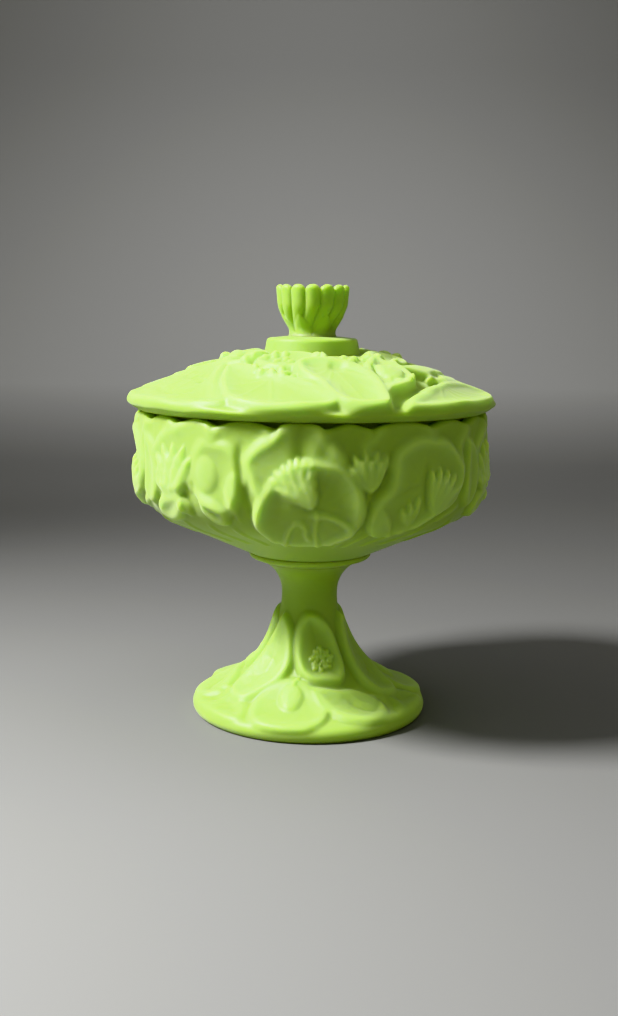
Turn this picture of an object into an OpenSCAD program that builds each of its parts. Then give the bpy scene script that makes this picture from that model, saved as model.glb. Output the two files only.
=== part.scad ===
// Footed glass candy dish with a lid, moulded all over with water-lily pads and flowers.
// Millimetres, +Z up. The origin is the centre of the foot on the table, and the front faces -Y.

/* [Foot and stem] */
// Diameter of the foot
foot_d = 113.4; // [96:0.2:138]
// Radius of the foot's rolled edge
foot_edge_r = 3.8; // [3:0.1:5]
// Diameter of the stem's waist, its narrowest place
waist_d = 26.8; // [22:0.2:32]
// Height of the waist above the table
waist_h = 58; // [48:0.5:70]
// Radius of the flare above the waist
flare_r = 17.5; // [15:0.5:21]
// Diameter of the stem's top, under the collar
stem_top_d = 45; // [40:0.5:52]
// Glass over the hollow under the foot
foot_wall = 6; // [4:0.25:8]
// Height at which that hollow starts to close into its dome
hollow_h = 40; // [34:1:44]

/* [Collar] */
// Diameter of the collar between stem and bowl
collar_d = 59; // [56:0.5:70]
// Height of the collar
collar_h = 4.6; // [4:0.1:6]

/* [Bowl] */
// Diameter of the bowl's smooth wall, without the relief
bowl_d = 165; // [137:0.5:198]
// Height of the bowl from the collar to its rim
bowl_h = 69; // [57:0.5:83]
// Slope of the bowl's underside, in degrees
underside_angle = 24.5; // [20:0.5:27]
// Radius of the turn from the underside into the wall
knuckle_r = 22; // [18:0.5:26]
// Thickness of the bowl's wall
bowl_wall = 5; // [4:0.25:6]
// Thickness of the bowl's flat floor
bowl_floor = 6; // [5:0.25:9]
// Depth of the scallops in the rim
scallop_depth = 2.8; // [1.5:0.1:4]

/* [Lid] */
// How far the lid's edge stands out past the bowl's smooth wall
lid_overhang = 4.3; // [3.4:0.1:6]
// Thickness of the lid's edge
lid_edge_h = 4.8; // [4:0.1:6]
// Rise of the dome from the edge to the knob
dome_rise = 20.4; // [17:0.2:25]
// Thickness of the dome
dome_wall = 5; // [4:0.25:6]
// Depth of the ring that keeps the lid central in the bowl
ring_depth = 6; // [4:0.5:9]
// Thickness of that ring
ring_wall = 3.6; // [3:0.1:5]
// Gap between the ring and the inside of the bowl
ring_gap = 1.4; // [0.8:0.1:2.5]

/* [Knob] */
// Diameter of the plain disc under the flower
disc_d = 45.4; // [38:0.2:54]
// Height of the disc
disc_h = 8.6; // [7:0.2:11]
// Diameter of the flower where it opens
flower_d = 34.8; // [29:0.2:42]
// Diameter of the flower's base
flower_base_d = 21.2; // [18:0.2:25]
// Height of the flower
flower_h = 23.7; // [20:0.1:29]
// Number of petals in the ring
petal_count = 14; // [12:1:15]

/* [Relief] */
// How far the lily pads stand out of the glass
pad_high = 1.6; // [1.2:0.1:2]
// How far the flowers and buds stand out
flower_high = 2.6; // [2.2:0.1:3]

/* [Hidden] */
$fn = 96;

// The relief repeats this many times round the dish.
repeats = 3;
// Straight steps that an arc and a curve are drawn in
arc_steps = 8;
curve_steps = 10;
// The table meets the foot's rolled edge this share of the roll's radius under its centre.
roll_lift = 0.9;
// Where the roll turns into the foot's sweep, in degrees
roll_end = 75;
// Slopes of the dome at the lid's edge and at the disc, in degrees
dome_edge_slope = 20;
dome_top_slope = 8;
// Rise of the bowl's underside above the collar's edge
underside_step = 0.8;
glass = [0.62, 0.85, 0.22];

// Heights of the planes where one section meets the next
collar_z = waist_h + flare_r * sin(acos(1 - (stem_top_d - waist_d) / 2 / flare_r));
bowl_z = collar_z + collar_h;
rim_z = bowl_z + bowl_h;
dome_z = rim_z + lid_edge_h;
disc_z = dome_z + dome_rise;
flower_z = disc_z + disc_h;

bowl_r = bowl_d / 2;
lid_r = bowl_r + lid_overhang;
ring_r = bowl_r - bowl_wall - ring_gap;

// Points along a circle's arc, and along a cubic curve
function arc(centre, r, from, to) =
    [for (i = [0:arc_steps]) let (a = from + (to - from) * i / arc_steps) centre + r * [cos(a), sin(a)]];
function curve(p) =
    [for (i = [0:curve_steps]) let (t = i / curve_steps, s = 1 - t)
        s * s * s * p[0] + 3 * s * s * t * p[1] + 3 * s * t * t * p[2] + t * t * t * p[3]];
function reversed(p) = [for (i = [len(p) - 1:-1:0]) p[i]];

// The ring of glass between an outer and an inner side line
module layer(outer, inner) {
    rotate_extrude() polygon(concat(outer, reversed(inner)));
}

// Copies spaced evenly round the axis. An offset of 0.5 puts them between the others.
module around(count, offset = 0) {
    for (i = [0:count - 1]) rotate((i + offset) * 360 / count) children();
}

// Foot and stem

// A rolled edge that rests on the table, then one sweep up to the waist. A negative
// grow gives the inside of the wall, and a positive one the top of the relief.
function foot_sweep(grow) = let (
    roll = foot_edge_r + grow,
    centre = [foot_d / 2 - foot_edge_r, roll_lift * foot_edge_r],
    start = centre + roll * [cos(roll_end), sin(roll_end)],
    waist = [waist_d / 2 + grow, waist_h],
    run = 0.73 * (start.x - waist.x),
    rise = 0.43 * (waist.y - start.y))
    curve([start, start + run * [-sin(roll_end), cos(roll_end)], waist - [0, rise], waist]);

module foot_body() {
    roll_centre = [foot_d / 2 - foot_edge_r, roll_lift * foot_edge_r];
    roll = arc(roll_centre, foot_edge_r, -asin(roll_lift), roll_end);
    flare = arc([waist_d / 2 + flare_r, waist_h], flare_r, 180, 180 - asin((collar_z - waist_h) / flare_r));
    rotate_extrude() polygon(concat([[0, 0]], roll, foot_sweep(0), flare, [[0, collar_z]]));
}

// The hollow under the foot follows the outside and closes in a dome in the stem.
module foot_hollow() {
    inside = [for (p = foot_sweep(-foot_wall)) if (p.y < hollow_h) p];
    mouth_r = inside[0].x;
    neck = inside[len(inside) - 1];
    rotate_extrude() polygon(concat([[0, -1], [mouth_r, -1]], inside, arc([0, neck.y], neck.x, 0, 90)));
}

// Lily pads lie on the foot in a ring, with a bud standing between each two.
module foot_relief() {
    count = 2 * repeats;
    mid_r = foot_d * 0.33;
    pad_r = mid_r * sin(180 / count) * 0.86;
    bud_r = foot_edge_r;
    bud = foot_sweep(flower_high - bud_r)[7];
    intersection() {
        layer(foot_sweep(pad_high), foot_sweep(-foot_wall / 2));
        around(count) translate([0, -mid_r, 0]) cylinder(h = waist_h, r = pad_r);
    }
    around(count, 0.5) translate([0, -bud.x, bud.y]) sphere(bud_r);
}

module pedestal_foot() {
    color(glass) difference() {
        union() {
            foot_body();
            foot_relief();
        }
        foot_hollow();
    }
}

// Collar

module stem_collar() {
    edge_r = 0.5 * collar_h;
    centre = [collar_d / 2 - edge_r, bowl_z - 0.1 * collar_h];
    color(glass) rotate_extrude() polygon(concat(
        [[0, collar_z], [stem_top_d / 2, collar_z]], arc(centre, edge_r, -110, 0),
        [[collar_d / 2, bowl_z], [0, bowl_z]]));
}

// Bowl

// Underside, knuckle and wall, from the collar up to the rim
function bowl_side(grow) = let (
    centre = [bowl_r - knuckle_r, knuckle_z()],
    r = knuckle_r + grow,
    turn = arc(centre, r, underside_angle - 90, 0),
    inner_x = collar_d / 2,
    drop = (turn[0].x - inner_x) * tan(underside_angle))
    concat([[inner_x, turn[0].y - drop]], turn, [[centre.x + r, rim_z]]);

// Height of the knuckle's centre, which sets the underside's inner end on the collar
function knuckle_z() = bowl_z + underside_step + (bowl_r - knuckle_r * (1 - sin(underside_angle)) - collar_d / 2)
    * tan(underside_angle) + knuckle_r * cos(underside_angle);

module bowl_body() {
    outside = bowl_side(0);
    rotate_extrude() polygon(concat([[0, bowl_z], [collar_d / 2, bowl_z]], outside, [[0, rim_z]]));
}

module bowl_hollow() {
    floor_z = bowl_z + bowl_floor;
    side = [for (p = bowl_side(-bowl_wall)) if (p.y > floor_z) p];
    floor_r = side[0].x - (side[0].y - floor_z) / tan(underside_angle);
    rotate_extrude() polygon(concat(
        [[0, floor_z], [floor_r, floor_z]], side, [[bowl_r - bowl_wall, rim_z + 1], [0, rim_z + 1]]));
}

// A row of round pads on the bowl's side at one height, and a round flower on each
module bowl_row(count, offset, z, pad_r) {
    flower_r = 0.3 * pad_r;
    side_r = lookup(z, [for (p = bowl_side(0)) [p.y, p.x]]);
    intersection() {
        layer(bowl_side(pad_high), bowl_side(-bowl_wall / 2));
        around(count, offset) translate([0, -0.7 * bowl_r, z]) rotate([90, 0, 0])
            cylinder(h = bowl_r / 2, r = pad_r);
    }
    around(count, offset) translate([0, flower_r - flower_high - side_r, z]) sphere(flower_r);
}

// Two rows, the lower pads between the upper ones
module bowl_relief() {
    count = 4 * repeats;
    bowl_row(count, 0, bowl_z + 0.74 * bowl_h, 0.24 * bowl_h);
    bowl_row(count, 0.5, bowl_z + 0.4 * bowl_h, 0.17 * bowl_h);
}

// The rim dips between narrow flat lands that the lid rests on. Each cutter reaches a
// little above the rim, and stays narrower than its share of the turn.
module rim_scallops() {
    count = repeats * 7;
    start = bowl_r - 2 * bowl_wall;
    half = 0.8 * start * sin(180 / count);
    side = 1.15 * half;
    above = 1;
    r = (half * half + scallop_depth * scallop_depth) / (2 * scallop_depth);
    around(count, 0.5) translate([0, -start, rim_z]) rotate([90, 0, 0])
        linear_extrude(4 * bowl_wall) intersection() {
            translate([0, r - scallop_depth]) circle(r);
            translate([-side, -half]) square([2 * side, half + above]);
        }
}

module bowl() {
    color(glass) difference() {
        union() {
            bowl_body();
            bowl_relief();
        }
        bowl_hollow();
        rim_scallops();
    }
}

// Lid

// The dome from the edge's rounded lip up to the flat land under the disc
function dome_side(grow) = let (
    start = [lid_r - lid_edge_h / 2, dome_z + grow],
    end = [disc_d / 2 + 1, disc_z + grow],
    span = start.x - end.x,
    at_edge = 0.36 * span * [-cos(dome_edge_slope), sin(dome_edge_slope)],
    at_top = 0.3 * span * [cos(dome_top_slope), -sin(dome_top_slope)])
    curve([start, start + at_edge, end + at_top, end]);

module lid_body() {
    edge_r = lid_edge_h / 2;
    edge = arc([lid_r - edge_r, rim_z + edge_r], edge_r, -90, 90);
    rotate_extrude() polygon(concat([[0, rim_z]], edge, dome_side(0), [[0, disc_z]]));
}

module lid_hollow() {
    mouth_r = ring_r - ring_wall;
    side = [for (p = dome_side(-dome_wall)) if (p.x < mouth_r && p.y > rim_z) p];
    rotate_extrude() polygon(concat(
        [[0, rim_z - 1], [mouth_r, rim_z - 1], [mouth_r, side[0].y]], side, [[0, disc_z - dome_wall]]));
}

module locating_ring() {
    tip = 0.3 * ring_wall;
    rotate_extrude() polygon([
        [ring_r - ring_wall, rim_z], [ring_r, rim_z], [ring_r, rim_z - ring_depth + tip],
        [ring_r - tip, rim_z - ring_depth], [ring_r - ring_wall, rim_z - ring_depth]]);
}

// Round pads in two rings on the dome, and a bud above each outer one
module lid_relief() {
    inner_r = disc_d / 2;
    band = lid_r - inner_r;
    count = 3 * repeats;
    bud_r = 0.1 * band;
    bud = dome_side(flower_high - bud_r)[7];
    intersection() {
        layer(dome_side(pad_high), dome_side(-dome_wall / 2));
        translate([0, 0, rim_z]) {
            around(count) translate([0, -inner_r - 0.62 * band, 0])
                cylinder(h = 2 * (dome_rise + lid_edge_h), r = 0.22 * band);
            around(count, 0.5) translate([0, -inner_r - 0.28 * band, 0])
                cylinder(h = 2 * (dome_rise + lid_edge_h), r = 0.18 * band);
        }
    }
    around(count) translate([0, -bud.x, bud.y]) sphere(bud_r);
}

module lid() {
    color(glass) difference() {
        union() {
            lid_body();
            locating_ring();
            lid_relief();
        }
        lid_hollow();
    }
}

// Knob

module knob_disc() {
    edge_r = 0.22 * disc_h;
    taper = 0.14 * disc_h;
    dome = 0.1 * disc_h;
    top_z = flower_z - dome;
    centre = [disc_d / 2 - taper - edge_r, top_z - edge_r];
    color(glass) rotate_extrude() polygon(concat(
        [[0, disc_z], [disc_d / 2, disc_z]], arc(centre, edge_r, 8, 84),
        [[flower_base_d / 2, flower_z], [0, flower_z]]));
}

// A cup that opens upwards, parted into petals by grooves down its side and
// notches in its rim
module knob_flower() {
    base_r = flower_base_d / 2;
    tip_r = flower_d / 2;
    top_z = flower_z + flower_h;
    wall = 0.3 * tip_r;
    groove_r = 0.05 * tip_r;
    notch_r = 0.09 * tip_r;
    lean = atan2(tip_r - base_r, flower_h);
    side = curve([[base_r, flower_z], [0.8 * tip_r, flower_z + 0.2 * flower_h],
        [tip_r, flower_z + 0.5 * flower_h], [tip_r, top_z]]);
    heart = [[tip_r - wall, top_z], [0.5 * tip_r, top_z - 0.35 * flower_h], [0, top_z - 0.4 * flower_h]];
    color(glass) difference() {
        rotate_extrude() polygon(concat([[0, flower_z]], side, heart));
        around(petal_count, 0.5) {
            translate([0, -base_r - 1.5 * groove_r, flower_z + 2 * groove_r]) rotate([lean, 0, 0])
                cylinder(h = flower_h, r = groove_r);
            translate([0, -tip_r / 2, top_z]) rotate([90, 0, 0]) cylinder(h = tip_r, r = notch_r);
        }
    }
}

pedestal_foot();
stem_collar();
bowl();
lid();
knob_disc();
knob_flower();
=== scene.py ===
# A footed glass dish with a lid, in satin lime glass with lily pads and flowers in relief.
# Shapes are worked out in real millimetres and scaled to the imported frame.
import math

import bpy
import numpy as np
from mathutils import Euler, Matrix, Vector


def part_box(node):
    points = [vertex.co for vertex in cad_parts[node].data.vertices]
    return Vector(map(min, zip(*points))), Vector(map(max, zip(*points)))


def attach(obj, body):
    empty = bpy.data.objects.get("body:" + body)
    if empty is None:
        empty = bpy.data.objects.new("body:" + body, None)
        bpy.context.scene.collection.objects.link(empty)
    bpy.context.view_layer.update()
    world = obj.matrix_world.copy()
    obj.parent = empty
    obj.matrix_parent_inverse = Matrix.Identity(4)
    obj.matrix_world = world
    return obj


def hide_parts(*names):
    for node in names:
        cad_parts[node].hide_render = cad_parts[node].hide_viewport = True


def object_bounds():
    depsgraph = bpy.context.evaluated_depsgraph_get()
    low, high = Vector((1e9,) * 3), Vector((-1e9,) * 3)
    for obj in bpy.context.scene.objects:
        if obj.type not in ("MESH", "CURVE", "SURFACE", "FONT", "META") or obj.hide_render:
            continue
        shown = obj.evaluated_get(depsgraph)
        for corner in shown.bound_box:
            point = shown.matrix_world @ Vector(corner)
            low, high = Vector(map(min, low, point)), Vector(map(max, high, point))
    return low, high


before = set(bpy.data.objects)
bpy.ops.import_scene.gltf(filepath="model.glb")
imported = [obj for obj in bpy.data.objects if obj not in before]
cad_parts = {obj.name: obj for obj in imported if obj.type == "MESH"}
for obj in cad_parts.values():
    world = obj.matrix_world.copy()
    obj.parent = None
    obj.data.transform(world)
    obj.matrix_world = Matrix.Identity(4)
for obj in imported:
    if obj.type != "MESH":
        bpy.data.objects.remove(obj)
CAD_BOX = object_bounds()

# ---------------------------------------------------------------- sizes from the frame

REAL_HEIGHT = 204.45
MM = (CAD_BOX[1][2] - CAD_BOX[0][2]) / REAL_HEIGHT


def node_size(node):
    """A node's outer radius and its lowest and highest z, in millimetres."""
    low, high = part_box(node)
    return high.x / MM, low.z / MM, high.z / MM


FOOT_R, _, COLLAR_Z = node_size("pedestal_foot")
COLLAR_R, _, BOWL_Z = node_size("stem_collar")
BOWL_R, _, RIM_Z = node_size("bowl")
LID_R, _, _ = node_size("lid")
DISC_R, DISC_Z, FLOWER_Z = node_size("knob_disc")
FLOWER_R, _, TOP_Z = node_size("knob_flower")
BOWL_R -= 3.8  # the flowers stand this far out of the bowl's smooth wall


# ---------------------------------------------------------------- lines

def arc(centre, radius, start, end, steps=8):
    """Points along a circle's arc, angles in degrees."""
    angles = np.radians(np.linspace(start, end, steps + 1))
    return np.stack([centre[0] + radius * np.cos(angles), centre[1] + radius * np.sin(angles)], 1)


def curve(a, b, c, d, steps=24):
    """Points along a cubic curve with its ends at a and d and its handles at b and c."""
    t = np.linspace(0, 1, steps + 1)[:, None]
    s = 1 - t
    a, b, c, d = (np.array(p, float) for p in (a, b, c, d))
    return s**3 * a + 3 * s * s * t * b + 3 * s * t * t * c + t**3 * d


def through(points, closed=False, steps=6):
    """A smooth line through points."""
    p = np.asarray(points, float)
    if closed:
        p = np.concatenate([p[-1:], p, p[:2]])
    else:
        p = np.concatenate([2 * p[:1] - p[1:2], p, 2 * p[-1:] - p[-2:-1]])
    t = (np.arange(steps) / steps)[:, None, None]
    a, b, c, d = p[:-3], p[1:-2], p[2:-1], p[3:]
    line = b + 0.5 * t * (c - a + t * (2 * a - 5 * b + 4 * c - d + t * (3 * b - a - 3 * c + d)))
    line = line.transpose(1, 0, 2).reshape(-1, 2)
    end = line[:1] if closed else p[-2:-1]
    return np.concatenate([line, end])


def respaced(outline, spacing):
    """The same line with points an even distance apart, close to spacing."""
    outline = np.asarray(outline, float)
    steps = np.hypot(*np.diff(outline, axis=0).T)
    keep = np.concatenate([[True], steps > 1e-6])
    outline = outline[keep]
    along = np.concatenate([[0], np.cumsum(steps[keep[1:]])])
    count = max(2, int(round(along[-1] / spacing)) + 1)
    even = np.linspace(0, along[-1], count)
    return np.stack([np.interp(even, along, outline[:, i]) for i in (0, 1)], 1)


def smooth(low, high, value):
    """0 below low, 1 above high, and an even rise between."""
    t = np.clip((value - low) / (high - low), 0, 1)
    return t * t * (3 - 2 * t)


def nearest(x, y, line):
    """The distance from each place to a line, and where along it, from 0 to 1."""
    distance = np.full(x.shape, np.inf)
    where = np.zeros(x.shape)
    for i, (start, end) in enumerate(zip(line[:-1], line[1:])):
        step = end - start
        t = ((x - start[0]) * step[0] + (y - start[1]) * step[1]) / max(step @ step, 1e-9)
        t = np.clip(t, 0, 1)
        away = np.hypot(x - start[0] - t * step[0], y - start[1] - t * step[1])
        where = np.where(away < distance, (i + t) / (len(line) - 1), where)
        distance = np.minimum(distance, away)
    return distance, where


def depth_inside(x, y, line):
    """The distance in from a closed line, negative outside it."""
    distance, _ = nearest(x, y, line)
    inside = np.zeros(x.shape, bool)
    for start, end in zip(line[:-1], line[1:]):
        crosses = (start[1] > y) != (end[1] > y)
        rise = end[1] - start[1]
        if abs(rise) > 1e-9:
            inside ^= crosses & (x < start[0] + (end[0] - start[0]) * (y - start[1]) / rise)
    return np.where(inside, distance, -distance)


# ---------------------------------------------------------------- relief

class Relief:
    """Heights over a turned surface, drawn motif by motif from the back to the front.

    A place is a turn, in degrees from the front to the right, and a distance in
    millimetres up the outline. The pattern is drawn once and repeats round the axis.
    """

    def __init__(self, outline, columns, repeats=1):
        self.outline = outline
        self.columns = columns
        self.repeats = repeats
        steps = np.hypot(*np.diff(outline, axis=0).T)
        self.along = np.concatenate([[0], np.cumsum(steps)])
        self.degrees = np.arange(columns // repeats) * 360 / columns
        self.height = np.zeros((len(outline), columns // repeats))

    def patch(self, places, reach):
        """The grid cells within reach of some places, their x and y, and the places' own.

        x runs to the right and y up the outline, in millimetres from the places' middle.
        """
        places = np.asarray(places, float)
        turn, along = places.mean(axis=0)
        (left, low), (right, high) = places.min(axis=0), places.max(axis=0)
        rows = np.nonzero((self.along > low - reach) & (self.along < high + reach))[0]
        radius = self.outline[rows, 0]
        period = 360 / self.repeats
        gap = (self.degrees - turn + period / 2) % period - period / 2
        margin = np.degrees(reach / radius.min())
        cols = np.nonzero((gap > left - turn - margin) & (gap < right - turn + margin))[0]
        x = np.radians(gap[cols])[None, :] * radius[:, None]
        y = np.repeat((self.along[rows] - along)[:, None], len(cols), axis=1)
        place_r = np.interp(places[:, 1], self.along, self.outline[:, 0])
        local = np.stack([np.radians(places[:, 0] - turn) * place_r, places[:, 1] - along], 1)
        return np.ix_(rows, cols), x, y, local

    def lay(self, cells, top, mask):
        """Covers what is there with top, where mask is 1."""
        self.height[cells] += (top - self.height[cells]) * mask

    def soften(self, passes):
        """Rounds every edge a little, as fire and acid do."""
        for _ in range(passes):
            h = self.height
            h = (np.roll(h, 1, 1) + 2 * h + np.roll(h, -1, 1)) / 4
            self.height = (np.vstack([h[:1], h[:-1]]) + 2 * h + np.vstack([h[1:], h[-1:]])) / 4

    def fade(self, start, end, soft=4.0):
        """Lets the relief die out below start and above end."""
        keep = smooth(start - soft / 2, start + soft / 2, self.along)
        keep *= 1 - smooth(end - soft / 2, end + soft / 2, self.along)
        self.height *= keep[:, None]

    def rows(self):
        """The surface as rows of points, each moved out along its normal by its height."""
        tangent = np.gradient(self.outline, axis=0)
        tangent /= np.linalg.norm(tangent, axis=1)[:, None]
        height = np.tile(self.height, self.repeats)
        out = self.outline[:, 0, None] + height * tangent[:, 1, None]
        up = self.outline[:, 1, None] - height * tangent[:, 0, None]
        return turned(out, up)


def turned(radius, z):
    """Rows of points round the axis, from a radius and a z for each row and column."""
    turns = np.arange(radius.shape[1]) * 2 * np.pi / radius.shape[1]
    return np.stack([radius * np.sin(turns), -radius * np.cos(turns), z], -1)


def plain_rows(outline, columns):
    """Rows of points for an outline turned round the axis without relief."""
    outline = np.asarray(outline, float).reshape(-1, 2)
    radius, z = (np.repeat(outline[:, i, None], columns, axis=1) for i in (0, 1))
    return turned(radius, z)


def pad(relief, outline, heart, level, lip=0.6, dish=0.9, bevel=1.9, veins=11, vein=0.2):
    """A lily pad: a thick rounded edge, sunken towards its heart, with forked veins.

    level is the pad's height, lip how far its edge rises and dish how far its middle sinks.
    """
    lip_in, lip_wide = 2.6, 2.1
    dish_start, dish_end = 2, 11
    vein_wide = 0.55
    cells, x, y, local = relief.patch([*outline, heart], 3)
    inside = depth_inside(x, y, through(local[:-1], closed=True))
    x, y = x - local[-1, 0], y - local[-1, 1]
    rho, angle = np.hypot(x, y), np.arctan2(x, y)
    share = rho / (rho + np.maximum(inside, 0.1))
    lines = np.zeros(x.shape)
    for count, start in ((veins, 0.1), (2 * veins, 0.55)):
        spacing = 2 * np.pi / count
        off = np.abs((angle + spacing / 2) % spacing - spacing / 2)
        line = np.exp(-(rho * np.sin(off) / vein_wide) ** 2)
        lines = np.maximum(lines, line * smooth(start, start + 0.2, share))
    top = level + lip * np.exp(-((inside - lip_in) / lip_wide) ** 2)
    top -= dish * smooth(dish_start, dish_end, inside)
    top += vein * lines * smooth(dish_start, 6, inside)
    relief.lay(cells, top, smooth(-bevel, bevel, inside))


def petal(relief, base, tip, width, level, height, point=0.8):
    """A rounded petal from its base to its tip; a larger point moves its widest part outwards."""
    cells, x, y, (start, end) = relief.patch([base, tip], width)
    axis = end - start
    length = np.hypot(*axis)
    axis /= length
    forward = (x - start[0]) * axis[0] + (y - start[1]) * axis[1]
    side = np.abs((x - start[0]) * axis[1] - (y - start[1]) * axis[0])
    share = np.clip(forward / length, 0, 1)
    half = np.maximum(width / 2 * np.sin(np.pi * share**point) ** 0.7, 0.01)
    rise = height * np.sqrt(1 - np.clip(side / half, 0, 1) ** 2) * (0.6 + 0.4 * share)
    within = (forward > 0) & (forward < length)
    relief.lay(cells, level + rise, smooth(0, 0.4, half - side) * within)


def flower(relief, base, tips, width, level, height):
    """Petals that spread from one base, in the order given."""
    for i, tip in enumerate(tips):
        petal(relief, base, tip, width=width, level=level + 0.05 * i, height=height)


def strand(relief, points, width, height, swell=0.0):
    """A rounded stem through points; a swell of 1 makes it a leaf with pointed ends."""
    cells, x, y, local = relief.patch(points, width)
    distance, where = nearest(x, y, through(local))
    shape = 1 - swell + swell * np.sin(np.pi * np.clip(where, 0.02, 0.98)) ** 0.6
    ends = smooth(0, 0.12, where) * (1 - smooth(0.9, 1, where))
    rise = height * shape * np.sqrt(np.clip(1 - (2 * distance / (width * shape)) ** 2, 0, 1))
    relief.height[cells] += rise * np.maximum(ends, swell)


def fold(relief, points, width, height):
    """A soft ridge along a line through points, or a groove where height is negative."""
    cells, x, y, local = relief.patch(points, 3 * width)
    distance, where = nearest(x, y, through(local))
    ends = smooth(0, 0.2, where) * (1 - smooth(0.8, 1, where))
    relief.height[cells] += height * np.exp(-(distance / width) ** 2) * ends


def bump(relief, place, wide, tall, height, spin=0):
    """An oval boss, wide and tall from its middle, or a dimple where height is negative."""
    cells, x, y, _ = relief.patch([place], 1.1 * max(wide, tall))
    s = math.radians(spin)
    across, up = x * math.cos(s) + y * math.sin(s), y * math.cos(s) - x * math.sin(s)
    left = np.clip(1 - (across / wide) ** 2 - (up / tall) ** 2, 0, 1)
    relief.height[cells] += height * (np.sqrt(left) if height > 0 else left**1.5)


# ---------------------------------------------------------------- meshes

def build_piece(name, rows, lowest, highest, body, node, relief=None, first=0):
    """A closed solid over rows of points, closed by a point on the axis below and above.

    The relief's rows start at row first; the material reads their heights to paint the raised relief
    paler as light and the low glass darker as shade.
    """
    count, columns = rows.shape[:2]
    vertices = np.concatenate([rows.reshape(-1, 3), [[0, 0, lowest]], [[0, 0, highest]]])
    index = np.arange(count * columns).reshape(count, columns)
    right = np.roll(index, -1, axis=1)
    faces = np.stack([index[:-1], right[:-1], right[1:], index[1:]], -1).reshape(-1, 4).tolist()
    bottom, top = count * columns, count * columns + 1
    faces += [(bottom, int(b), int(a)) for a, b in zip(index[0], right[0])]
    faces += [(top, int(a), int(b)) for a, b in zip(index[-1], right[-1])]
    mesh = bpy.data.meshes.new(name)
    mesh.from_pydata((vertices * MM).tolist(), [], faces)
    mesh.polygons.foreach_set("use_smooth", [True] * len(mesh.polygons))
    heights = np.zeros(len(vertices))
    if relief is not None:
        values = np.tile(relief.height, relief.repeats).ravel()
        heights[first * columns:first * columns + len(values)] = values
    # These heights drive the glass's painted light and shade.
    layer = mesh.attributes.new("relief", "FLOAT", "POINT")
    layer.data.foreach_set("value", heights)
    mesh.update()
    piece = bpy.data.objects.new(name, mesh)
    bpy.context.scene.collection.objects.link(piece)
    piece.data.materials.append(satin_glass())
    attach(piece, body)
    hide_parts(node)
    return piece


# ---------------------------------------------------------------- material

def new_material(name):
    """A material, its nodes, its links and its shader."""
    material = bpy.data.materials.new(name)
    material.use_nodes = True
    nodes, links = material.node_tree.nodes, material.node_tree.links
    return material, nodes, links, nodes["Principled BSDF"]


def set_inputs(node, values):
    """Sets sockets by name."""
    for name, value in values.items():
        node.inputs[name].default_value = value


def satin_glass():
    """Acid-etched lime glass that scatters light inside, with a random cloudy tone; its colour is painted
    shade, darker on flat and low glass, and painted light, paler where the relief stands up.
    """
    if "satin_lime_glass" in bpy.data.materials:
        return bpy.data.materials["satin_lime_glass"]
    material, nodes, links, shader = new_material("satin_lime_glass")
    place = nodes.new("ShaderNodeTexCoord")
    cloud = nodes.new("ShaderNodeTexNoise")
    set_inputs(cloud, {"Scale": 22.0, "Detail": 3.0})
    links.new(place.outputs["Object"], cloud.inputs["Vector"])
    # Painted shade and light: low relief and flat glass map to the darker end of the colour ramp, raised
    # relief to the paler end, with random cloudiness added.
    height = nodes.new("ShaderNodeAttribute")
    height.attribute_name = "relief"
    spread = nodes.new("ShaderNodeMapRange")
    set_inputs(spread, {"From Min": 0.3, "From Max": 3.6, "To Min": 0.33, "To Max": 0.85})
    links.new(height.outputs["Fac"], spread.inputs["Value"])
    cloud_and_painted_shade = nodes.new("ShaderNodeMath")
    cloud_and_painted_shade.operation = "MULTIPLY_ADD"
    cloud_and_painted_shade.inputs[1].default_value = 0.25
    links.new(cloud.outputs["Fac"], cloud_and_painted_shade.inputs[0])
    links.new(spread.outputs["Result"], cloud_and_painted_shade.inputs[2])
    ramp = nodes.new("ShaderNodeValToRGB")
    # The dark end is the painted shade of the flat and sunken glass, the pale end the painted light on
    # the raised relief.
    ramp.color_ramp.elements[0].position = 0.3
    ramp.color_ramp.elements[0].color = (0.265, 0.40, 0.058, 1)
    ramp.color_ramp.elements[1].position = 0.95
    ramp.color_ramp.elements[1].color = (0.415, 0.59, 0.16, 1)
    links.new(cloud_and_painted_shade.outputs[0], ramp.inputs["Fac"])
    links.new(ramp.outputs["Color"], shader.inputs["Base Color"])
    etch = nodes.new("ShaderNodeTexNoise")
    set_inputs(etch, {"Scale": 1400.0, "Detail": 2.0})
    links.new(place.outputs["Object"], etch.inputs["Vector"])
    satin = nodes.new("ShaderNodeMapRange")
    set_inputs(satin, {"To Min": 0.42, "To Max": 0.56})
    links.new(cloud.outputs["Fac"], satin.inputs["Value"])
    links.new(satin.outputs["Result"], shader.inputs["Roughness"])
    bump = nodes.new("ShaderNodeBump")
    set_inputs(bump, {"Strength": 0.12, "Distance": 0.00005})
    links.new(etch.outputs["Fac"], bump.inputs["Height"])
    links.new(bump.outputs["Normal"], shader.inputs["Normal"])
    set_inputs(shader, {
        "IOR": 1.5, "Subsurface Weight": 1.0, "Subsurface Radius": (0.9, 1.0, 0.15),
        "Subsurface Scale": 0.008, "Sheen Weight": 0.15, "Sheen Roughness": 0.5,
    })
    return material


# ---------------------------------------------------------------- foot and stem

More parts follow.
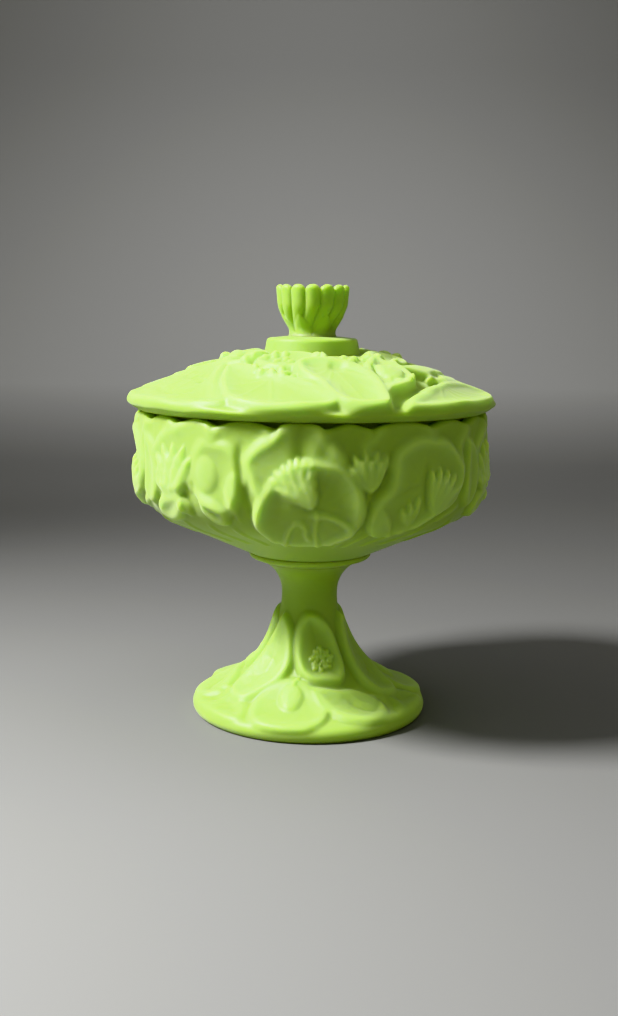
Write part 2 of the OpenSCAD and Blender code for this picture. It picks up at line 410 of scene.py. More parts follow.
def foot_outline():
    """The rolled edge's upper part, the sweep up to the stem's waist, and the flare."""
    roll = 3.8
    waist_r, waist_z = 13.4, 0.79 * COLLAR_Z
    flare_r, flare_turn = 17.5, 61.3
    centre = np.array([FOOT_R - roll, 0.9 * roll])
    lean = math.radians(75)
    start = centre + roll * np.array([math.cos(lean), math.sin(lean)])
    run = 0.73 * (start[0] - waist_r)
    rise = 0.43 * (waist_z - start[1])
    slope = np.array([-math.sin(lean), math.cos(lean)])
    edge = arc(centre, roll, -64, 75)
    sweep = curve(start, start + run * slope, (waist_r, waist_z - rise), (waist_r, waist_z))
    flare = arc((waist_r + flare_r, waist_z), flare_r, 180, 180 - flare_turn)
    return np.vstack([edge, sweep, flare])


def foot_pattern(relief):
    # pads round the edge of the foot
    pad(relief,
        [(-66, 9), (-52, 7), (-40, 7), (-35, 12), (-42, 21), (-54, 24), (-66, 20)],
        heart=(-48, 19), level=0.8, lip=0.5)
    pad(relief,
        [(38, 8), (48, 6.5), (58, 8), (64, 14), (62, 22), (50, 26), (38, 22), (33, 15)],
        heart=(52, 20), level=0.9, lip=0.5)
    pad(relief,
        [(-37, 23), (-34, 15), (-28, 9), (-18, 6), (-6, 6), (3, 8), (10, 14), (13, 22), (8, 32),
         (-4, 38), (-22, 38), (-33, 33)],
        heart=(-6, 34), level=1.5, lip=0.5, dish=0.6, bevel=1.3)
    fold(relief, [(0, 6), (8, 12), (14, 20)], width=1.2, height=-0.5)
    # the large leaf left of the stem
    pad(relief,
        [(-64, 24), (-52, 20), (-42, 22), (-33, 31), (-25, 37), (-19, 46), (-22, 57), (-34, 66),
         (-52, 70), (-64, 62), (-70, 48), (-70, 34)],
        heart=(-46, 30), level=2.5, lip=0.6, dish=0.9, bevel=1.6, veins=9)
    fold(relief, [(-58, 48), (-46, 47), (-36, 45)], width=1.0, height=-0.35)
    fold(relief, [(-62, 34), (-50, 37), (-40, 42)], width=1.0, height=-0.35)
    fold(relief, [(-58, 10), (-50, 16), (-45, 20)], width=0.9, height=0.4)
    # leaves right of the middle, one inside the other
    pad(relief,
        [(3, 34), (6, 27), (12, 19), (20, 12), (32, 8), (44, 10), (50, 18), (46, 26), (36, 31),
         (24, 32), (12, 34)],
        heart=(30, 30), level=1.9, lip=0.5, dish=0.7, bevel=1.0, veins=9)
    fold(relief, [(3, 34), (6, 28), (9, 22), (16, 15)], width=0.7, height=0.5)
    fold(relief, [(24, 30), (32, 19), (40, 15), (48, 20), (56, 27)], width=1.0, height=-0.7)
    fold(relief, [(28, 31), (36, 22), (41, 19)], width=1.0, height=0.5)
    fold(relief, [(47, 7), (55, 15), (62, 24)], width=0.9, height=-0.6)
    # the oval leaf that climbs the stem, with its seed head
    pad(relief,
        [(-21, 66), (-22, 58), (-18, 50), (-10, 42), (2, 37), (16, 36), (30, 36), (40, 42), (44, 52),
         (40, 63), (26, 69), (6, 72), (-10, 71)],
        heart=(12, 50), level=2.0, lip=1.1, dish=1.7, bevel=1.5, veins=9, vein=0.0)
    # a bud on its stem
    bump(relief, (-12.5, 27), wide=5.6, tall=8.0, height=2.3, spin=8)
    fold(relief, [(-15, 19), (-14, 25), (-13, 31)], width=0.5, height=0.35)
    strand(relief, [(-13, 34), (-12, 37), (-8, 41)], width=1.8, height=0.9)
    relief.soften(2)
    seeds(relief, (15, 49), radius=1.35, spread=4.8, count=22, height=1.3)
    relief.soften(1)
    relief.fade(5.5, 73, 4)


def seeds(relief, middle, radius, spread, count, height):
    """A round cluster of small bosses, packed in a sunflower spiral."""
    golden_angle, stretch = 137.5, 1.25
    turn_mm = 57.3 / np.interp(middle[1], relief.along, relief.outline[:, 0])
    for i in range(count):
        reach = spread * math.sqrt((i + 0.5) / count)
        a = math.radians(golden_angle * i)
        place = (middle[0] + reach * math.cos(a) * turn_mm, middle[1] + stretch * reach * math.sin(a))
        bump(relief, place, wide=radius, tall=radius, height=height)


def build_foot():
    """The foot and stem, hollow from below up to hollow_top."""
    hollow_top, ring_edge = 47.5, 1.2
    relief = Relief(respaced(foot_outline(), 0.54), 480, 3)
    foot_pattern(relief)
    outside = relief.rows()
    hollow = through([(5, 46.3), (9, 42), (11.1, 36.6), (14.1, 30), (18, 23.7), (28.7, 12.7), (43.4, 4.3),
                      (52.3, 0.6)])
    hollow = np.vstack([respaced(hollow, 3), [(relief.outline[0, 0] - ring_edge, 0.0)]])
    inside = plain_rows(hollow, relief.columns)
    rows = np.concatenate([inside, outside])
    build_piece("foot_and_stem", rows, hollow_top, COLLAR_Z, "base", "pedestal_foot", relief, len(inside))


# ---------------------------------------------------------------- collar

def build_collar():
    """A plain ring with a rounded edge under the bowl."""
    stem_r = 22.5
    edge = 0.5 * (BOWL_Z - COLLAR_Z)
    centre = (COLLAR_R - edge, BOWL_Z - 0.2 * edge)
    side = np.vstack([[(stem_r, COLLAR_Z)], arc(centre, edge, -110, 0, 12), [(COLLAR_R, BOWL_Z)]])
    line = np.vstack([[(12, COLLAR_Z)], respaced(side, 0.5), [(15, BOWL_Z)]])
    build_piece("collar", plain_rows(line, 240), COLLAR_Z, BOWL_Z, "base", "stem_collar")


# ---------------------------------------------------------------- bowl

RIM_VALLEYS = [-44.6, -29.7, -11.0, 4.3, 18.2, 38.8, 57.0]  # turns, in degrees


def bowl_back_pads(relief):
    """The pads whose tops make the scalloped rim."""
    pad(relief,
        [(3, 96), (5, 104), (16, 104), (19, 96), (18, 88), (15, 78), (10, 74), (6, 80), (4, 90)],
        heart=(11, 84), level=0.5, dish=0.5, veins=7, vein=0.1)
    pad(relief,
        [(37, 96), (40, 104), (55, 104), (57.5, 96), (60, 88), (58, 76), (52, 70), (44, 76), (38, 88)],
        heart=(50, 80), level=0.8, veins=9, vein=0.12)
    pad(relief,
        [(-66, 96), (-63, 104), (-48, 104), (-46, 96), (-46, 88), (-50, 80), (-58, 72), (-66, 74),
         (-70, 86)],
        heart=(-58, 80), level=0.7, veins=9, vein=0.12)
    pad(relief,
        [(-31, 97), (-28, 104), (-14, 104), (-11, 96), (-13, 88), (-17, 76), (-22, 66), (-30, 66),
         (-33, 76), (-33, 88)],
        heart=(-22, 76), level=0.8, dish=0.6, veins=9, vein=0.12)
    pad(relief,
        [(18, 97), (22, 104), (35, 104), (39, 97), (38, 88), (33, 80), (24, 78), (17, 84), (14.5, 91)],
        heart=(26, 86), level=1.1, dish=0.7, veins=7, vein=0.1)
    pad(relief,
        [(-46, 98), (-43, 104), (-33, 104), (-30, 97), (-29, 90), (-32, 80), (-38, 70), (-50, 66),
         (-58, 72), (-59, 82), (-54, 90)],
        heart=(-44, 72), level=1.4, lip=0.5, dish=0.6, veins=9, vein=0.12)


def bowl_left_side(relief):
    """An open lily on its pad, and the curled leaves under it."""
    pad(relief,
        [(-37, 86), (-33, 91.5), (-26, 90.5), (-21.5, 84), (-20.8, 74), (-21, 64), (-26, 58), (-33, 61),
         (-37, 70), (-38, 79)],
        heart=(-28, 70), level=1.5, lip=0.4, dish=0.5, veins=7, vein=0.1)
    bump(relief, (-32, 75.5), wide=5.0, tall=8.0, height=1.2, spin=10)
    bump(relief, (-23.5, 69), wide=3.4, tall=8.0, height=1.2, spin=-8)
    base = (-45, 64)
    flower(relief, base,
        [(-57, 76), (-55, 82), (-51, 86.5), (-46, 88.5), (-41.5, 87), (-38.5, 82)],
        width=7, level=1.4, height=1.3)
    flower(relief, base,
        [(-56, 71), (-53, 78), (-48.5, 82.5), (-43.5, 82.5), (-40, 78)],
        width=6, level=1.9, height=1.3)
    flower(relief, base,
        [(-52, 71), (-49, 75.5), (-45, 77), (-41.5, 74.5)],
        width=5, level=2.4, height=1.2)
    for i in range(7):
        bump(relief, (-50 + 1.9 * i, 68.5 + 1.2 * math.sin(2.1 * i)), wide=1.4, tall=1.8, height=0.7)
    fold(relief, [(-66, 70), (-60, 66), (-56, 63), (-54, 56)], width=1.6, height=-0.8)
    bump(relief, (-59.5, 62), wide=4.5, tall=2.4, height=1.2, spin=20)
    pad(relief,
        [(-56, 59), (-52.5, 63.5), (-47.5, 66), (-43, 66), (-42, 60), (-45, 54), (-50, 51), (-55, 53)],
        heart=(-46, 56), level=2.2, lip=0.6, dish=0.8, bevel=1.3, veins=7, vein=0.1)
    bump(relief, (-41.5, 59.8), wide=2.9, tall=4.6, height=2.0, spin=12)
    pad(relief,
        [(-34.5, 65), (-35, 60), (-33, 56), (-30, 53), (-26.5, 53.5), (-25.5, 60), (-28, 63),
         (-31, 65)],
        heart=(-29, 58), level=1.9, lip=0.8, dish=0.9, bevel=1.1, veins=5, vein=0.0)
    strand(relief,
        [(-39, 70.5), (-36, 66.5), (-32, 63.5), (-28.5, 61.5), (-25.5, 59.5)],
        width=4.2, height=1.3, swell=0.8)
    strand(relief, [(-27, 71), (-24, 66), (-23, 60), (-22, 54)], width=2.6, height=0.8, swell=0.7)


def bowl_front(relief):
    """Two pads, one before the other, with a lily rising over them."""
    fold(relief, [(-21, 92), (-21.5, 82), (-20.5, 73), (-18.5, 64), (-18, 56)], width=1.5, height=-0.9)
    pad(relief,
        [(-10.5, 97.5), (-7, 104), (0, 104), (4.3, 97), (7.6, 90), (10.3, 82.5), (9, 72), (2, 64),
         (-8, 62), (-16, 67), (-18.8, 76), (-19.8, 83), (-16, 90)],
        heart=(-2, 74), level=2.3, lip=0.6, dish=0.5, bevel=1.7, vein=0.12)
    fold(relief, [(-3.2, 104), (-2.8, 93), (-2.6, 85), (-2.6, 76)], width=3.4, height=-1.5)
    fold(relief, [(5.2, 96), (4.6, 90), (3, 84)], width=2.4, height=-0.5)
    fold(relief, [(13.5, 79), (15.7, 73), (16.8, 66), (16.9, 56), (16.5, 48)], width=1.2, height=-0.9)
    pad(relief,
        [(-1, 83.8), (5, 83.3), (9.5, 81), (13.5, 75), (15.8, 68), (16, 58), (13, 48), (6, 42),
         (-4, 40), (-12, 44), (-17, 52), (-17.4, 59), (-15.6, 66.5), (-12, 74), (-7, 80.5)],
        heart=(1.5, 62), level=2.4, lip=0.8, dish=1.4, bevel=1.5, veins=13)
    bump(relief, (-4, 73.5), wide=7, tall=9.5, height=1.6, spin=-20)
    flower(relief, (-3.4, 69),
        [(-11.8, 75), (1.9, 80), (-10.4, 78.6), (0.6, 82.6), (-8.3, 81.4), (-1.7, 84), (-6.2, 83.4),
         (-4, 84.4)],
        width=4.2, level=2.3, height=1.3)
    flower(relief, (-1.6, 66),
        [(-10.6, 71.8), (1.4, 76), (-8.7, 76), (0, 79), (-6.2, 79.2), (-2.7, 80)],
        width=4.4, level=2.9, height=1.2)
    flower(relief, (0.8, 64),
        [(-7.3, 70.6), (0.4, 73), (-5, 73.8), (-2, 74.8)],
        width=4.2, level=3.4, height=1.1)
    strand(relief, [(0.6, 63.5), (2, 60.5), (1.6, 55), (1.8, 48), (3, 41)], width=2.0, height=0.9)
    strand(relief,
        [(-1.5, 60.2), (4, 60.2), (8.3, 58), (12.3, 53.5), (8.5, 49), (4.5, 44)],
        width=2.8, height=1.4)
    strand(relief,
        [(-9, 40), (-8, 47), (-6.3, 53), (-3.8, 56.5), (-1.4, 54), (-1.5, 50), (1, 45)],
        width=2.2, height=1.0)


def bowl_right_side(relief):
    """A half-open lily between the pads, the large right pad and what grows on it."""
    base = (17.6, 69.5)
    flower(relief, base,
        [(12, 86), (22.8, 85.5), (15.5, 88.5), (19.4, 88.5)],
        width=5.0, level=1.3, height=1.4)
    flower(relief, base,
        [(10.6, 81.5), (22, 80.5), (14, 84), (20.6, 84), (17.4, 85)],
        width=4.4, level=1.9, height=1.5)
    strand(relief, [(17.6, 71), (16.8, 66), (16.4, 58), (16.8, 48)], width=2.2, height=1.0)
    pad(relief,
        [(56, 92), (61, 88), (65, 78), (65, 66), (60, 58), (55.5, 62), (55, 72), (55.5, 84)],
        heart=(60, 70), level=1.6, lip=0.5, dish=0.6, veins=7, vein=0.1)
    fold(relief, [(55, 88), (56, 78), (55, 68), (51, 62)], width=1.4, height=-0.9)
    fold(relief, [(24.3, 90), (23.2, 80), (20.5, 72), (17.6, 65)], width=1.4, height=-0.8)
    pad(relief,
        [(25, 85.5), (30, 91), (36, 93.8), (41, 93.2), (46, 89.5), (51, 83), (54, 77), (53.5, 69),
         (49, 62.5), (42, 57), (34, 51), (25, 47), (19, 51), (17.6, 59), (19.4, 66), (23.2, 72),
         (24.3, 79)],
        heart=(36, 71), level=2.1, lip=0.7, dish=1.0, bevel=1.8, veins=9, vein=0.15)
    fold(relief, [(23, 66.5), (28, 68.3), (31.5, 70.6), (36, 71)], width=0.7, height=-0.5)
    fold(relief, [(37.4, 84), (36.6, 74), (36.8, 66), (38.5, 59)], width=1.7, height=-0.8)
    base = (39, 59.5)
    flower(relief, base,
        [(38.4, 77.5), (52.2, 70), (42, 78.5), (49.4, 74.5), (46, 77)],
        width=5.2, level=1.9, height=1.4)
    flower(relief, base,
        [(40.5, 74), (49, 68.5), (43.6, 74), (46.8, 71.8)],
        width=4.6, level=2.4, height=1.5)
    flower(relief, (32, 54.5), [(27.6, 62), (33.8, 67), (30.4, 64.5)], width=4.0, level=1.8, height=1.1)
    petal(relief, (23, 47), (21.4, 62.5), width=9, level=1.9, height=1.0)
    fold(relief, [(21.6, 61), (24.2, 57), (25.6, 51), (26.6, 47)], width=0.8, height=0.6)
    strand(relief, [(32, 52), (37, 56.5), (42, 60), (47, 61.5), (52, 65)], width=2.6, height=1.0)
    strand(relief, [(44, 52), (49, 57), (55, 60)], width=5, height=1.2, swell=0.9)


def bowl_stems(relief):
    """Stems under the bowl that run together towards the collar."""
    stems = ((-48, 9), (-36, 8), (-26, 7), (-13, 3), (14, -4), (21, -6), (31, -8), (42, -9), (57, -8))
    for turn, drift in stems:
        strand(relief,
            [(turn, 52), (turn + 0.5 * drift, 40), (turn + drift, 27)],
            width=2.6, height=0.7)


def build_bowl():
    """The bowl: a sloping underside, a round knuckle, an upright wall and a scalloped rim."""
    slope, knuckle, lip, inner_lip = 24.5, 22.0, 2.6, 1.8
    wall, floor, dip_depth, dip_reach = 5.0, 6, 2.8, 24
    centre = (BOWL_R - knuckle, RIM_Z - 30.9)
    turn_in = arc(centre, knuckle, slope - 90, 0, 24)
    start_r = COLLAR_R + 0.3
    start = (start_r, turn_in[0, 1] - (turn_in[0, 0] - start_r) * math.tan(math.radians(slope)))
    rim = arc((BOWL_R + 0.4 - lip, RIM_Z - lip), lip, 0, 90, 6)
    relief = Relief(respaced(np.vstack([[start], turn_in, rim]), 0.9), 720, 3)
    bowl_back_pads(relief)
    bowl_left_side(relief)
    bowl_front(relief)
    bowl_right_side(relief)
    bowl_stems(relief)
    relief.soften(1)
    relief.fade(8, relief.along[-1] - 1.2, 3)
    outside = relief.rows()
    inner_r = BOWL_R - wall
    inner = np.vstack([
        arc((inner_r + inner_lip, RIM_Z - inner_lip), inner_lip, 90, 180, 5),
        arc(centre, knuckle - wall, 0, slope - 90, 14),
        [(30, BOWL_Z + floor + 0.3), (24, BOWL_Z + floor), (12, BOWL_Z + floor)],
    ])
    foot = plain_rows([(15, BOWL_Z), (start_r - 0.8, BOWL_Z)], relief.columns)
    rows = np.concatenate([foot, outside, plain_rows(inner, relief.columns)])
    dip = rim_dip(relief.columns, dip_depth)
    rows[..., 2] -= dip * smooth(RIM_Z - dip_reach, RIM_Z - 1, rows[..., 2])
    build_piece("bowl_shell", rows, BOWL_Z, BOWL_Z + floor, "base", "bowl", relief, len(foot))


def rim_dip(columns, depth):
    """How far the rim lies under its peaks at each turn; the valleys repeat three times round."""
    half_width = 4.6
    degrees = np.arange(columns) * 360 / columns
    dip = np.zeros(columns)
    for valley in RIM_VALLEYS:
        gap = (degrees - valley + 60) % 120 - 60
        dip = np.maximum(dip, depth * np.exp(-(np.abs(gap) / half_width) ** 1.7))
    return dip


# ---------------------------------------------------------------- lid

def lid_left_side(relief):
    """The large smooth pad at the left, and the small one above it with its leaves and bumps."""
    pad(relief,
        [(-92, 9), (-76, 3.5), (-58, 3.5), (-40, 3.5), (-26, 8), (-30, 17), (-38, 28), (-46, 38),
         (-56, 47), (-70, 49), (-86, 44), (-96, 26)],
        heart=(-62, 42), level=1.2, lip=0.6, dish=0.5, bevel=2.0, vein=0.15)
    bump(relief, (-50, 29), wide=3.2, tall=3.0, height=-1.0)
    pad(relief,
        [(-84, 52), (-70, 46), (-56, 46), (-44, 50), (-38, 57), (-44, 66), (-62, 68), (-80, 64)],
        heart=(-60, 62), level=1.7, lip=0.6, dish=0.8, bevel=1.5, veins=7)
    strand(relief, [(-54, 57), (-46, 52), (-38, 47)], width=3.6, height=1.0, swell=0.7)
    strand(relief, [(-44, 63), (-36, 58), (-28, 54)], width=3.6, height=1.0, swell=0.7)
    for turn, along in ((-84, 52), (-73, 57), (-62, 52), (-56, 60), (-45, 57)):
        bump(relief, (turn, along), wide=4.2, tall=3.8, height=1.5)
    fold(relief, [(-88, 15), (-72, 18), (-56, 15), (-42, 19)], width=1.6, height=-0.7)
    fold(relief, [(-80, 34), (-66, 31), (-54, 35)], width=1.8, height=-0.6)


def lid_middle(relief):
    """Three large pads that overlap to the right, with clusters of seeds between them."""
    pad(relief,
        [(-36, 50), (-24, 46), (-10, 45), (2, 48), (10, 56), (2, 65), (-16, 68), (-32, 64), (-40, 57)],
        heart=(-12, 62), level=1.4, lip=0.8, dish=0.7, bevel=1.4, veins=9)
    for turn, along in ((-33, 56), (-28, 58.5), (-24, 55), (-19, 58), (-14, 55), (-30, 61), (-22, 62)):
        bump(relief, (turn, along), wide=1.7, tall=1.7, height=1.0)
    pad(relief,
        [(-49, 43), (-43, 35), (-37, 26), (-31, 17), (-25, 9), (-14, 3.5), (0, 3.5), (8, 9), (6, 20),
         (0, 30), (-12, 36), (-26, 42), (-38, 47)],
        heart=(-17, 33), level=1.9, lip=0.8, dish=1.0, bevel=1.8, veins=9, vein=0.25)
    strand(relief, [(-34, 44), (-25, 46), (-16, 44.5), (-10, 41)], width=3.0, height=1.1)
    cluster = ((-27, 39.5), (-23, 36), (-20.5, 40.5), (-17, 36.5), (-13.5, 40), (-12, 35), (-8.5, 37.5),
               (-24, 42.5), (-16, 43))
    for turn, along in cluster:
        bump(relief, (turn, along), wide=2.1, tall=2.1, height=1.5)
    pad(relief,
        [(-9.5, 46.5), (-6.5, 38), (-2, 31.5), (1.5, 27), (4, 18), (7.5, 9), (13, 3.5), (22, 4),
         (26, 20), (28, 34), (24, 46), (14, 52), (2, 54), (-7, 52)],
        heart=(11, 47), level=2.5, lip=1.1, dish=1.5, bevel=1.7, veins=13, vein=0.3)
    bump(relief, (13, 45.5), wide=5.0, tall=4.6, height=-1.2)
    bump(relief, (12.5, 56), wide=4.4, tall=4.6, height=2.2)
    bump(relief, (3, 58), wide=3.0, tall=3.0, height=1.3)


def lid_right_side(relief):
    """The folded pad with its bud, and the pads and petals that run on to the right."""
    pad(relief,
        [(28, 4), (42, 3.5), (58, 3.5), (74, 4), (86, 10), (82, 22), (66, 27), (48, 24), (36, 18),
         (30, 12)],
        heart=(56, 24), level=1.4, lip=0.7, dish=0.7, bevel=1.8)
    fold(relief, [(24, 6), (29, 13), (35, 18), (44, 20)], width=2.0, height=-0.9)
    pad(relief,
        [(16, 9), (17.5, 20), (20, 31), (25, 42), (33, 51), (45, 56.5), (52, 50), (50, 38), (44, 27),
         (36, 22.5), (28, 18.5), (22, 7.5)],
        heart=(34, 34), level=2.3, lip=0.9, dish=1.0, bevel=1.5, veins=9)
    fold(relief, [(16.5, 8), (18.5, 20), (21, 32), (25, 42)], width=0.9, height=-0.8)
    bump(relief, (38, 38), wide=6.4, tall=7.4, height=2.1, spin=-15)
    fold(relief, [(33, 46), (31, 38), (33, 30)], width=1.2, height=-0.7)
    for turn, along in ((36, 29), (40, 27.5), (44, 29.5), (33, 32)):
        bump(relief, (turn, along), wide=1.7, tall=1.7, height=1.0)
    pad(relief,
        [(46, 50), (56, 46), (70, 46), (82, 50), (88, 58), (76, 66), (58, 66), (46, 60)],
        heart=(66, 60), level=1.7, lip=0.7, dish=0.9, bevel=1.4, veins=7)
    for turn, along in ((24, 57), (31, 59), (37, 62), (45, 60), (53, 56), (28, 63), (60, 58)):
        bump(relief, (turn, along), wide=2.3, tall=2.3, height=1.4)
    petal(relief, (82, 33), (46, 40.5), width=15, level=1.7, height=1.8)
    petal(relief, (84, 26), (56, 31), width=9, level=1.4, height=1.3)
    fold(relief, [(50, 24), (60, 29), (72, 32)], width=1.5, height=-0.8)
    strand(relief, [(49, 45), (58, 50), (70, 52)], width=3.4, height=1.1, swell=0.6)


def build_lid():
    """The dome with its wavy lip, the hollow under it, and the ring that hangs in the bowl."""
    edge, lift, relief_gain = 1.7, 1.5, 1.4
    lip_slope, top_slope = math.radians(20), math.radians(8)
    start = np.array([LID_R - edge, RIM_Z + lift + 2 * edge])
    end = np.array([DISC_R + 0.6, DISC_Z])
    span = start[0] - end[0]
    lip_way = np.array([-math.cos(lip_slope), math.sin(lip_slope)])
    top_way = np.array([math.cos(top_slope), -math.sin(top_slope)])
    dome = curve(start, start + 0.36 * span * lip_way, end + 0.3 * span * top_way, end)
    lip = arc((LID_R - edge, RIM_Z + lift + edge), edge, -80, 90, 12)
    relief = Relief(respaced(np.vstack([lip, dome]), 0.8), 720, 2)
    lid_left_side(relief)
    lid_right_side(relief)
    lid_middle(relief)
    relief.height *= relief_gain
    relief.soften(1)
    relief.fade(3.4, relief.along[-1] - 1.0, 3)
    turns = np.radians(relief.degrees)
    wave = (np.cos(14 * turns + 0.8) + 0.5 * np.cos(22 * turns)) / 1.5
    relief.height += np.outer(1 - smooth(4, 9, relief.along), 0.4 * (wave - 1))
    ring_in, ring_out, ring_low = BOWL_R - 10.0, BOWL_R - 6.4, RIM_Z - 6
    chamfer = 0.9
    inner_top = DISC_Z - 5.0
    inner = np.vstack([
        curve((24, inner_top), (44, inner_top - 3), (60, inner_top - 10), (ring_in, RIM_Z + 4.3), 16),
        [(ring_in, ring_low), (ring_out - chamfer, ring_low)],
        [(ring_out, ring_low + chamfer), (ring_out, RIM_Z)],
        [(BOWL_R + 0.6, RIM_Z), (LID_R - edge - 0.8, RIM_Z + lift)],
    ])
    inside = plain_rows(inner, relief.columns)
    outside = relief.rows()
    rise = 0.5 * (1 + np.tile(wave, relief.repeats))
    outside[..., 2] += np.outer(1 - smooth(3, 10, relief.along), rise)
    rows = np.concatenate([inside, outside, plain_rows([(15, DISC_Z)], relief.columns)])
    build_piece("lid_dome", rows, inner_top, DISC_Z, "lid", "lid", relief, len(inside))


# ---------------------------------------------------------------- knob

def build_disc():
    """A plain disc with tapered sides, a rounded edge and a slightly domed top."""
    height = FLOWER_Z - DISC_Z
    edge, taper, dome = 0.22 * height, 0.14 * height, 0.1 * height
    centre = (DISC_R - taper - edge, FLOWER_Z - dome - edge)
    seat_r = 10.6
    side = np.vstack([[(DISC_R, DISC_Z)], arc(centre, edge, 8, 84, 12), [(seat_r, FLOWER_Z)]])
    line = np.vstack([[(12, DISC_Z)], respaced(side, 0.5)])
    build_piece("knob_base", plain_rows(line, 240), DISC_Z, FLOWER_Z, "lid", "knob_disc")


def build_flower():
    """A cup of thick round-topped petals that lean a little, with pointed sepals outside."""
    count, columns, wall, notch, lean = 14, 560, 3.4, 2.8, 16
    groove_depth, pinch_depth = 2.0, 1.8
    sepals, first_sepal, sepal_top, sepal_half, sepal_height = 7, 26, 0.5, 27, 0.9
    height = TOP_Z - 0.5 * wall - FLOWER_Z
    cup = [(0.66, 0), (0.59, 0.06), (0.61, 0.16), (0.71, 0.28), (0.85, 0.44), (0.95, 0.62),
           (0.98, 0.82), (1, 1)]
    side = respaced(through([(FLOWER_R * r, FLOWER_Z + height * z) for r, z in cup]), 0.35)
    relief = Relief(side, columns)
    share = (relief.along / relief.along[-1])[:, None]
    degrees = relief.degrees[None, :] + lean * (1 - smooth(0, 0.75, share))
    middle = np.abs(np.cos(np.radians(0.5 * count * degrees)))
    across = np.arccos(np.clip(middle, 0, 1)) / (np.pi / 2)
    groove = 1 - np.sqrt(1 - 0.97 * across**2)
    relief.height = -groove_depth * smooth(0.1, 0.5, share) * groove
    for i in range(sepals):
        gap = (relief.degrees - first_sepal - i * 360 / sepals + 180) % 360 - 180
        point = 1 - (share / sepal_top) ** 1.6 - np.abs(gap)[None, :] / sepal_half
        sepal = sepal_height * np.sqrt(np.clip(point, 0, 1))
        relief.height = np.where(point > 0, np.maximum(relief.height, sepal), relief.height)
    relief.height *= smooth(0, 0.08, share)
    relief.soften(2)
    dip = notch * groove[-1]
    outside = relief.rows()
    outside[..., 2] -= dip * smooth(0.55, 1, share)
    pinch = pinch_depth * groove[-1]
    angles = np.radians(np.arange(22.5, 180, 22.5))[:, None]
    half = 0.5 * wall - 0.35 * pinch
    tip_r = FLOWER_R - 0.5 * wall - 0.6 * pinch + half * np.cos(angles)
    tip_z = TOP_Z - 0.5 * wall - dip + half * np.sin(angles) * wall / (wall - 0.7 * pinch)
    depth, floor = np.array([2.5, 4.5, 6.5, 8.2])[:, None], 9
    inner_r = FLOWER_R - wall - 0.55 * depth + 0.4 * pinch * (1 - depth / floor)
    inner_z = np.broadcast_to(TOP_Z - depth, inner_r.shape) - dip * (1 - depth / floor)
    heart = plain_rows([(7, TOP_Z - 9.3), (4.6, TOP_Z - 8.2), (2, TOP_Z - 7.7)], columns)
    neck = plain_rows([(6, FLOWER_Z)], columns)
    rows = np.concatenate([neck, outside, turned(tip_r, tip_z), turned(inner_r, inner_z), heart])
    build_piece("knob_petals", rows, FLOWER_Z, TOP_Z - 7.6, "lid", "knob_flower", relief, 1)


build_foot()
build_collar()
build_bowl()
build_lid()
build_disc()
build_flower()


# ---------------------------------------------------------------- floor, light and camera

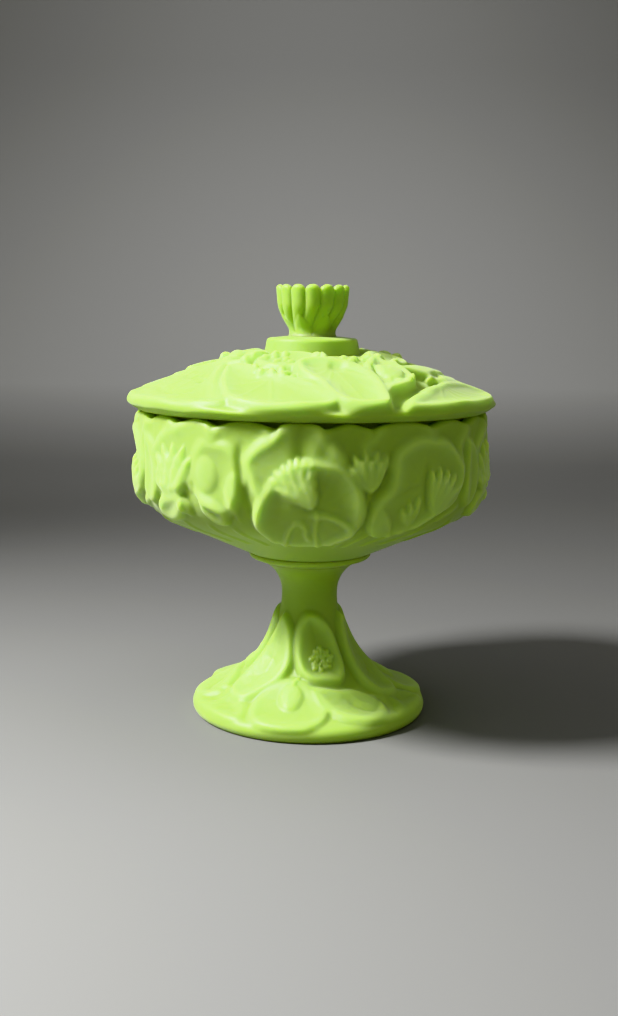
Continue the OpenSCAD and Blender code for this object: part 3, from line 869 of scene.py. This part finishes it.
def build_stage():
    """A pale floor that curves up into a backdrop, in metres; the flat floor is painted darker than the
    curve and the backdrop as painted light and shade on one sheet, with a faint random cloudiness.
    """
    reach, front, back, bend, top = 4.0, -3.0, 0.9, 0.6, 4.0
    curve_up = arc((back, bend), bend, -90, 0, 16)
    line = [(front, 0.0), (back, 0.0), *curve_up[1:].tolist(), (back + bend, top)]
    vertices = [(x, y, z) for y, z in line for x in (-reach, reach)]
    faces = [(2 * i, 2 * i + 1, 2 * i + 3, 2 * i + 2) for i in range(len(line) - 1)]
    mesh = bpy.data.meshes.new("floor")
    mesh.from_pydata(vertices, [], faces)
    mesh.polygons.foreach_set("use_smooth", [True] * len(faces))
    floor = bpy.data.objects.new("floor", mesh)
    bpy.context.scene.collection.objects.link(floor)
    material, nodes, links, shader = new_material("floor_paper")
    place = nodes.new("ShaderNodeTexCoord")
    split = nodes.new("ShaderNodeSeparateXYZ")
    links.new(place.outputs["Object"], split.inputs["Vector"])
    # Painted light: the colour goes from the darker flat floor to the paler curve over the first 9 cm of
    # height.
    rise = nodes.new("ShaderNodeMapRange")
    set_inputs(rise, {"From Max": 0.09})
    links.new(split.outputs["Z"], rise.inputs["Value"])
    noise = nodes.new("ShaderNodeTexNoise")
    set_inputs(noise, {"Scale": 6.0})
    cloud = nodes.new("ShaderNodeMath")
    cloud.operation = "MULTIPLY_ADD"
    cloud.inputs[1].default_value = 0.08
    links.new(noise.outputs["Fac"], cloud.inputs[0])
    links.new(rise.outputs["Result"], cloud.inputs[2])
    ramp = nodes.new("ShaderNodeValToRGB")
    # The darker colour is the flat floor, the paler one the curve and backdrop: a painted difference in
    # light on one sheet.
    ramp.color_ramp.elements[0].color = (0.156, 0.156, 0.151, 1)
    ramp.color_ramp.elements[1].color = (0.335, 0.335, 0.33, 1)
    links.new(cloud.outputs[0], ramp.inputs["Fac"])
    links.new(ramp.outputs["Color"], shader.inputs["Base Color"])
    set_inputs(shader, {"Roughness": 0.7})
    floor.data.materials.append(material)


def soft_light(name, place, target, size, power, spread):
    """A round lamp aimed at a target: metres, watts and degrees."""
    light = bpy.data.lights.new(name, "AREA")
    light.shape = "DISK"
    light.size = size
    light.energy = power
    light.spread = math.radians(spread)
    lamp = bpy.data.objects.new(name, light)
    lamp.location = place
    lamp.rotation_euler = (Vector(target) - Vector(place)).to_track_quat("-Z", "Y").to_euler()
    bpy.context.scene.collection.objects.link(lamp)


def build_lights():
    soft_light("key", (-0.81, -0.24, 0.96), (-0.10, -0.26, 0), 0.30, 8.1, 72)
    soft_light("backdrop", (0, 0.75, 1.1), (0, 1.2, 0.05), 0.9, 2.2, 100)
    soft_light("top", (0.45, 0.1, 1.5), (0.35, 0.02, 0), 0.8, 1.3, 120)
    world = bpy.data.worlds.new("studio")
    world.use_nodes = True
    set_inputs(world.node_tree.nodes["Background"], {"Color": (1.0, 0.99, 0.94, 1), "Strength": 0.44})
    bpy.context.scene.world = world
    bpy.context.scene.view_settings.view_transform = "Khronos PBR Neutral"
    bpy.context.scene.view_settings.look = "None"
    bpy.context.scene.view_settings.exposure = 0.0


def build_camera():
    """The camera, placed in heights of the dish and tilted down to it."""
    height = TOP_Z * MM
    side, back, up = -0.0033, -2.7655, 0.9308
    tilt, roll = 9.207, 0.653
    data = bpy.data.cameras.new("camera")
    data.sensor_width = 36
    data.lens = 42.1
    data.clip_end = 20
    camera = bpy.data.objects.new("camera", data)
    camera.location = (side * height, back * height, up * height)
    pitch = Euler((math.radians(90 - tilt), 0, 0)).to_matrix()
    camera.rotation_euler = (pitch @ Euler((0, 0, math.radians(roll))).to_matrix()).to_euler()
    bpy.context.scene.collection.objects.link(camera)
    bpy.context.scene.camera = camera


build_stage()
build_lights()
build_camera()
